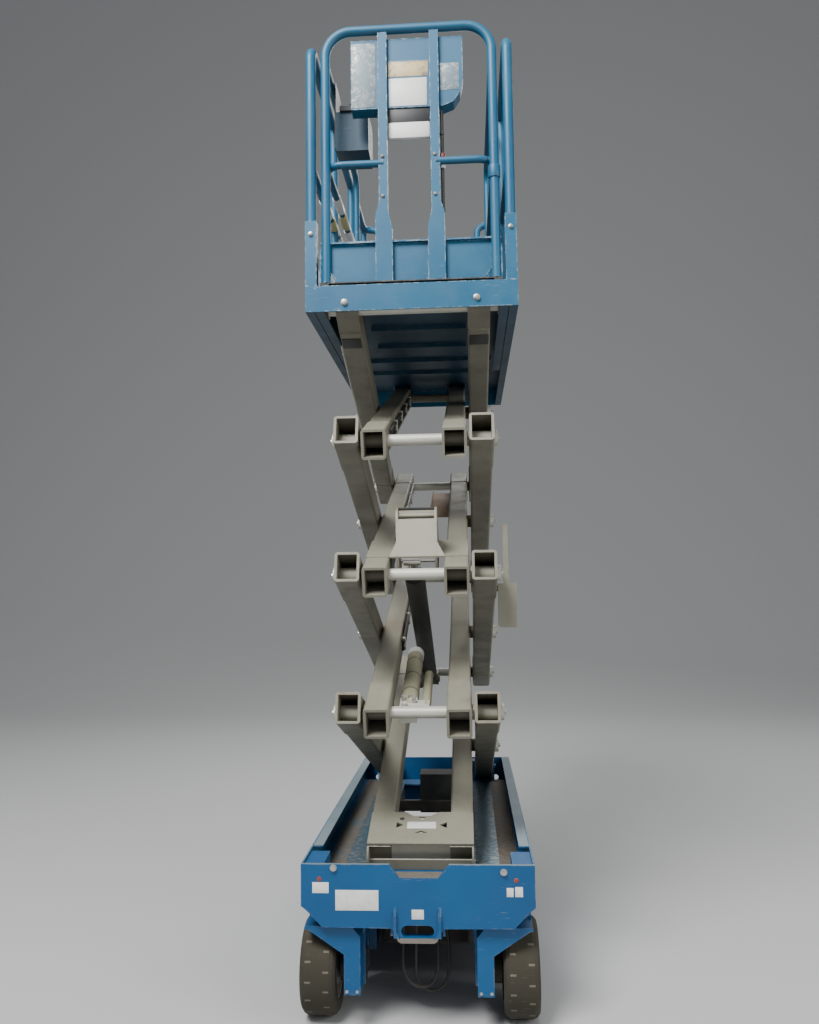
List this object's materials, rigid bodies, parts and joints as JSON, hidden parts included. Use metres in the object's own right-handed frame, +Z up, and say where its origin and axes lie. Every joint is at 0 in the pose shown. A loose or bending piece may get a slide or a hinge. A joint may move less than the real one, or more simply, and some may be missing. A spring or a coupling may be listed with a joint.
{
  "type": "scissor lift",
  "caption": "Electric slab scissor lift shown part raised, with folding arm stack, lift cylinder, steered and driven wheels, swing-out modules and a railed roll-out platform.",
  "frame": {"origin": "ground centre of the machine: half way between the front panel and the rear ladder, on its middle plane, on the floor under the wheels", "axes": "+X across the machine, to the right as seen from the front; +Y from the front (steered) end to the rear (entry) end; +Z up"},
  "size_m": [0.76, 1.83, 3.3925],
  "materials": {
    "blue_paint": "semi-gloss blue paint, worn",
    "tan_paint": "matt khaki-grey paint, dusty",
    "rod_chrome": "chromed rod",
    "steel": "plain steel, dull",
    "rim": "painted rim",
    "tyre": "solid rubber, brown-grey",
    "battery_plastic": "black battery cases",
    "black_plastic": "black moulded plastic"
  },
  "bodies": {
    "chassis": {"chassis_pan": "blue_paint", "chassis_underframe": "blue_paint", "charger": "black_plastic", "front_panel": "blue_paint", "rear_panel_ladder": "blue_paint", "steer_cylinder": "steel", "hose_front_1": "black_plastic", "hose_front_2": "black_plastic"},
    "outer_arms_1": {"outer_arms_1": "tan_paint"},
    "inner_arms_1": {"inner_arms_1": "tan_paint"},
    "inner_arms_2": {"inner_arms_2": "tan_paint", "valve_manifold": "tan_paint"},
    "outer_arms_2": {"outer_arms_2": "tan_paint"},
    "outer_arms_3": {"outer_arms_3": "tan_paint"},
    "inner_arms_3": {"inner_arms_3": "tan_paint"},
    "inner_arms_4": {"inner_arms_4": "tan_paint"},
    "outer_arms_4": {"outer_arms_4": "tan_paint"},
    "cylinder_barrel": {"lift_cylinder_barrel": "tan_paint"},
    "cylinder_rod": {"lift_cylinder_rod": "rod_chrome"},
    "module_left": {"tray_left": "blue_paint", "hydraulic_unit": "steel"},
    "module_right": {"tray_right": "blue_paint", "battery_pack": "battery_plastic"},
    "pothole_guards": {"pothole_guards": "blue_paint"},
    "yoke_left": {"yoke_left": "blue_paint"},
    "yoke_right": {"yoke_right": "blue_paint"},
    "steer_rod": {"steer_rod": "steel"},
    "wheel_front_left": {"tyre_front_left": "tyre", "rim_front_left": "rim"},
    "wheel_front_right": {"tyre_front_right": "tyre", "rim_front_right": "rim"},
    "wheel_rear_left": {"tyre_rear_left": "tyre", "rim_rear_left": "rim"},
    "wheel_rear_right": {"tyre_rear_right": "tyre", "rim_rear_right": "rim"},
    "platform": {"platform_deck": "blue_paint", "platform_rails": "blue_paint"},
    "gate": {"entry_gate": "blue_paint"},
    "extension": {"extension_deck": "blue_paint", "extension_rails": "blue_paint", "rail_box": "blue_paint", "control_box": "black_plastic"},
    "safety_prop": {"safety_prop": "tan_paint"}
  },
  "joints": [
    {"name": "scissor_lift", "type": "hinge", "parent": "chassis", "child": "outer_arms_1", "pos_m": [0, 0.7859, 0.4835], "axis": [-1, 0, 0], "range_deg": [-13.8, 41.4]},
    {"name": "near_pivot_1", "type": "hinge", "parent": "outer_arms_1", "child": "inner_arms_2", "pos_m": [0, -0.6686, 0.9582], "axis": [1, 0, 0], "range_deg": [-27.65, 82.85]},
    {"name": "far_pivot_2", "type": "hinge", "parent": "inner_arms_2", "child": "outer_arms_3", "pos_m": [0, 0.7859, 1.4329], "axis": [-1, 0, 0], "range_deg": [-27.65, 82.85]},
    {"name": "near_pivot_3", "type": "hinge", "parent": "outer_arms_3", "child": "inner_arms_4", "pos_m": [0, -0.6686, 1.9076], "axis": [1, 0, 0], "range_deg": [-27.65, 82.85]},
    {"name": "platform_pivot", "type": "hinge", "parent": "inner_arms_4", "child": "platform", "pos_m": [0, 0.7859, 2.3823], "axis": [-1, 0, 0], "range_deg": [-13.85, 41.45]},
    {"name": "centre_pivot_1", "type": "hinge", "parent": "outer_arms_1", "child": "inner_arms_1", "pos_m": [0, 0.05865, 0.72085], "axis": [1, 0, 0], "range_deg": [-27.65, 82.85]},
    {"name": "centre_pivot_2", "type": "hinge", "parent": "inner_arms_2", "child": "outer_arms_2", "pos_m": [0, 0.05865, 1.19555], "axis": [-1, 0, 0], "range_deg": [-27.65, 82.85]},
    {"name": "centre_pivot_3", "type": "hinge", "parent": "outer_arms_3", "child": "inner_arms_3", "pos_m": [0, 0.05865, 1.67025], "axis": [1, 0, 0], "range_deg": [-27.65, 82.85]},
    {"name": "centre_pivot_4", "type": "hinge", "parent": "inner_arms_4", "child": "outer_arms_4", "pos_m": [0, 0.05865, 2.14495], "axis": [-1, 0, 0], "range_deg": [-27.65, 82.85]},
    {"name": "cylinder_base_pivot", "type": "hinge", "parent": "inner_arms_1", "child": "cylinder_barrel", "pos_m": [-0.022, 0.70985, 0.93338], "axis": [-1, 0, 0], "range_deg": [-28.22, 84.55]},
    {"name": "cylinder_rod_slide", "type": "slide", "parent": "cylinder_barrel", "child": "cylinder_rod", "axis": [0, -0.916, 0.4013], "range_m": [-0.07688, 0.22863]},
    {"name": "module_left_swing", "type": "hinge", "parent": "chassis", "child": "module_left", "pos_m": [-0.349, 0.409, 0.26], "axis": [0, 0, -1], "range_deg": [0, 85]},
    {"name": "module_right_swing", "type": "hinge", "parent": "chassis", "child": "module_right", "pos_m": [0.349, 0.409, 0.26], "axis": [0, 0, 1], "range_deg": [0, 85]},
    {"name": "pothole_guard_lift", "type": "slide", "parent": "chassis", "child": "pothole_guards", "axis": [0, 0, 1], "range_m": [0, 0.045]},
    {"name": "steer_right", "type": "hinge", "parent": "chassis", "child": "yoke_right", "pos_m": [0.323, -0.735, 0.26], "axis": [0, 0, 1], "range_deg": [-65, 65]},
    {"name": "steer_left", "type": "hinge", "parent": "chassis", "child": "yoke_left", "pos_m": [-0.323, -0.735, 0.26], "axis": [0, 0, 1], "range_deg": [-65.05, 65.05]},
    {"name": "steer_rod_slide", "type": "slide", "parent": "chassis", "child": "steer_rod", "axis": [1, 0, 0], "range_m": [-0.0785, 0.0785]},
    {"name": "wheel_front_left_spin", "type": "hinge", "parent": "yoke_left", "child": "wheel_front_left", "pos_m": [-0.323, -0.735, 0.1525], "axis": [1, 0, 0], "continuous": true},
    {"name": "wheel_front_right_spin", "type": "hinge", "parent": "yoke_right", "child": "wheel_front_right", "pos_m": [0.323, -0.735, 0.1525], "axis": [1, 0, 0], "continuous": true},
    {"name": "wheel_rear_left_spin", "type": "hinge", "parent": "chassis", "child": "wheel_rear_left", "pos_m": [-0.323, 0.59, 0.1525], "axis": [1, 0, 0], "continuous": true},
    {"name": "wheel_rear_right_spin", "type": "hinge", "parent": "chassis", "child": "wheel_rear_right", "pos_m": [0.323, 0.59, 0.1525], "axis": [1, 0, 0], "continuous": true},
    {"name": "extension_slide", "type": "slide", "parent": "platform", "child": "extension", "axis": [0, -1, 0], "range_m": [0, 0.9]},
    {"name": "gate_swing", "type": "hinge", "parent": "platform", "child": "gate", "pos_m": [-0.222, 0.852, 2.9], "axis": [0, 0, -1], "range_deg": [0, 85]},
    {"name": "safety_prop_swing", "type": "hinge", "parent": "outer_arms_2", "child": "safety_prop", "pos_m": [0.29, -0.586, 1.38], "axis": [1, 0, 0], "range_deg": [0, 75]}
  ],
  "couplings": [
    {"joint": "near_pivot_1", "follows": "scissor_lift", "ratio": 2},
    {"joint": "far_pivot_2", "follows": "scissor_lift", "ratio": 2},
    {"joint": "near_pivot_3", "follows": "scissor_lift", "ratio": 2},
    {"joint": "platform_pivot", "follows": "scissor_lift", "ratio": 1},
    {"joint": "centre_pivot_1", "follows": "scissor_lift", "ratio": 2},
    {"joint": "centre_pivot_2", "follows": "scissor_lift", "ratio": 2},
    {"joint": "centre_pivot_3", "follows": "scissor_lift", "ratio": 2},
    {"joint": "centre_pivot_4", "follows": "scissor_lift", "ratio": 2},
    {"joint": "cylinder_base_pivot", "follows": "scissor_lift", "ratio": 2.041},
    {"joint": "cylinder_rod_slide", "follows": "scissor_lift", "m_per_rad": 0.31502},
    {"joint": "steer_left", "follows": "steer_right", "ratio": 1},
    {"joint": "steer_rod_slide", "follows": "steer_right", "m_per_rad": -0.06791}
  ]
}
